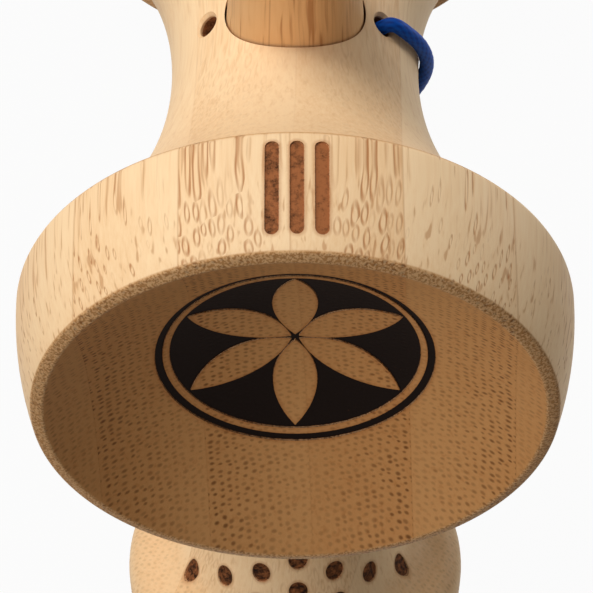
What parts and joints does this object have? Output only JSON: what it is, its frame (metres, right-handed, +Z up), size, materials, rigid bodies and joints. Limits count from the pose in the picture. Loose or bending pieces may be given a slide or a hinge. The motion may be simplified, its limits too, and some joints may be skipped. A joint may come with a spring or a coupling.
{
  "type": "kendama",
  "caption": "Bamboo kendama: turned ken with base cup and spike, pull-off cross piece with big and small cups, bored ball on a blue string with bead and spare string wound on the handle.",
  "frame": {"origin": "centre of the base cup's rim, on the surface that the ken stands on", "axes": "+Z up along the ken towards the spike, -Y the way the big cup faces, +X to the right of the big cup seen from its front"},
  "size_m": [0.06, 0.177, 0.149],
  "materials": {
    "bamboo_ken": "satin, grain along the ken",
    "bamboo_sarado": "satin, grain along the cups' axis",
    "bamboo_tama": "satin",
    "bead": "satin",
    "string": "braided"
  },
  "bodies": {
    "ken": {"ken": "bamboo_ken", "ken_knot": "string", "string_lead": "string", "string_winding": "string"},
    "sarado": {"sarado": "bamboo_sarado"},
    "tether": {"string_tail": "string"},
    "swivel": {"tama_knot": "string"},
    "bead": {"bead": "bead"},
    "tama": {"tama": "bamboo_tama"}
  },
  "joints": [
    {"name": "sarado_pull_off", "type": "slide", "parent": "ken", "child": "sarado", "axis": [0, 0, 1], "range_m": [0, 0.08], "deforming": ["string_lead"]},
    {"name": "tama_orbit", "type": "hinge", "parent": "ken", "child": "tether", "pos_m": [0, 0, 0], "axis": [0, 0, 1], "range_deg": [-120, 120], "deforming": ["string_winding"]},
    {"name": "tama_lift", "type": "slide", "parent": "tether", "child": "swivel", "axis": [0, 0, 1], "range_m": [0, 0.04], "deforming": ["string_tail"]},
    {"name": "tama_spin", "type": "hinge", "parent": "swivel", "child": "tama", "pos_m": [0, 0.108, 0.026], "axis": [0, 0, 1], "continuous": true},
    {"name": "bead_slide", "type": "slide", "parent": "swivel", "child": "bead", "axis": [0, 0, 1], "range_m": [0, 0.005]}
  ]
}
